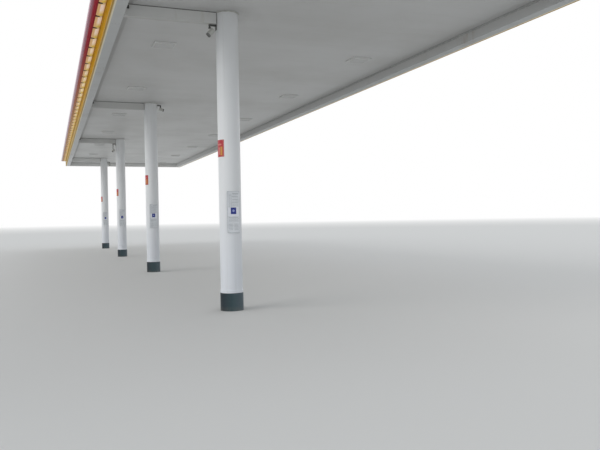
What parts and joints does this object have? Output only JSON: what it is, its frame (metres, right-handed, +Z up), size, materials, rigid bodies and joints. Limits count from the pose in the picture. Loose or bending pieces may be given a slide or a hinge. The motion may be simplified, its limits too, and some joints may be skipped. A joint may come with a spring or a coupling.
{
  "type": "filling station canopy",
  "caption": "Flat deck roof on one off-centre row of round pipe columns, with a white soffit, recessed lights, edge gutters and a lit yellow fascia with a red visor.",
  "frame": {"origin": "middle of column 1's foot, on its flat lower face, at ground level", "axes": "+X across the roof from the front edge (the lit edge near the columns) to the back edge, +Y along the row of columns from column 1 to column 4, +Z up"},
  "size_m": [6.8804, 32.2914, 5.486],
  "materials": {
    "column_paint": "semi-gloss white paint",
    "collar_paint": "dark blue-grey paint",
    "plate_red": "satin red",
    "notice_white": "satin white",
    "camera_fitting": "satin black paint",
    "camera_housing": "fine grain, off-white",
    "leader_paint": "satin white paint",
    "beam_steel": "grey primer",
    "purlin_steel": "galvanised",
    "deck_paint": "satin white paint",
    "light_housing": "satin white paint",
    "light_lens": "frosted",
    "gutter_paint": "satin white paint",
    "bracket_steel": "galvanised",
    "edge_trim_white": "satin white paint",
    "coping_white": "satin white paint",
    "fascia_yellow": "semi-gloss yellow",
    "visor_red": "gloss red",
    "lamp_diffuser": "frosted",
    "lamp_holder": "black"
  },
  "bodies": {
    "root": {"column_1": "column_paint", "column_2": "column_paint", "column_3": "column_paint", "column_4": "column_paint", "column_collars": "collar_paint", "number_plates": "plate_red", "notice_panels": "notice_white", "camera_fittings": "camera_fitting", "camera_housings": "camera_housing", "leader_boxes": "leader_paint", "main_beam_1": "beam_steel", "main_beam_2": "beam_steel", "main_beam_3": "beam_steel", "main_beam_4": "beam_steel", "purlin_line_1": "purlin_steel", "purlin_line_2": "purlin_steel", "purlin_line_3": "purlin_steel", "purlin_line_4": "purlin_steel", "purlin_line_5": "purlin_steel", "end_channels": "purlin_steel", "deck_near_end": "deck_paint", "deck_bay_1": "deck_paint", "deck_bay_2": "deck_paint", "deck_bay_3": "deck_paint", "deck_far_end": "deck_paint", "light_housings": "light_housing", "light_lenses": "light_lens", "gutter_front": "gutter_paint", "gutter_back": "gutter_paint", "gutter_ends": "gutter_paint", "fascia_brackets": "bracket_steel", "edge_trim": "edge_trim_white", "coping": "coping_white", "fascia_front": "fascia_yellow", "fascia_back": "fascia_yellow", "fascia_near_end": "fascia_yellow", "fascia_far_end": "fascia_yellow", "visor_front": "visor_red", "visor_back": "visor_red", "visor_near_end": "visor_red", "visor_far_end": "visor_red", "lamps_front": "lamp_diffuser", "lamps_back": "lamp_diffuser", "lamps_ends": "lamp_diffuser", "lamp_holders": "lamp_holder"}
  },
  "joints": []
}
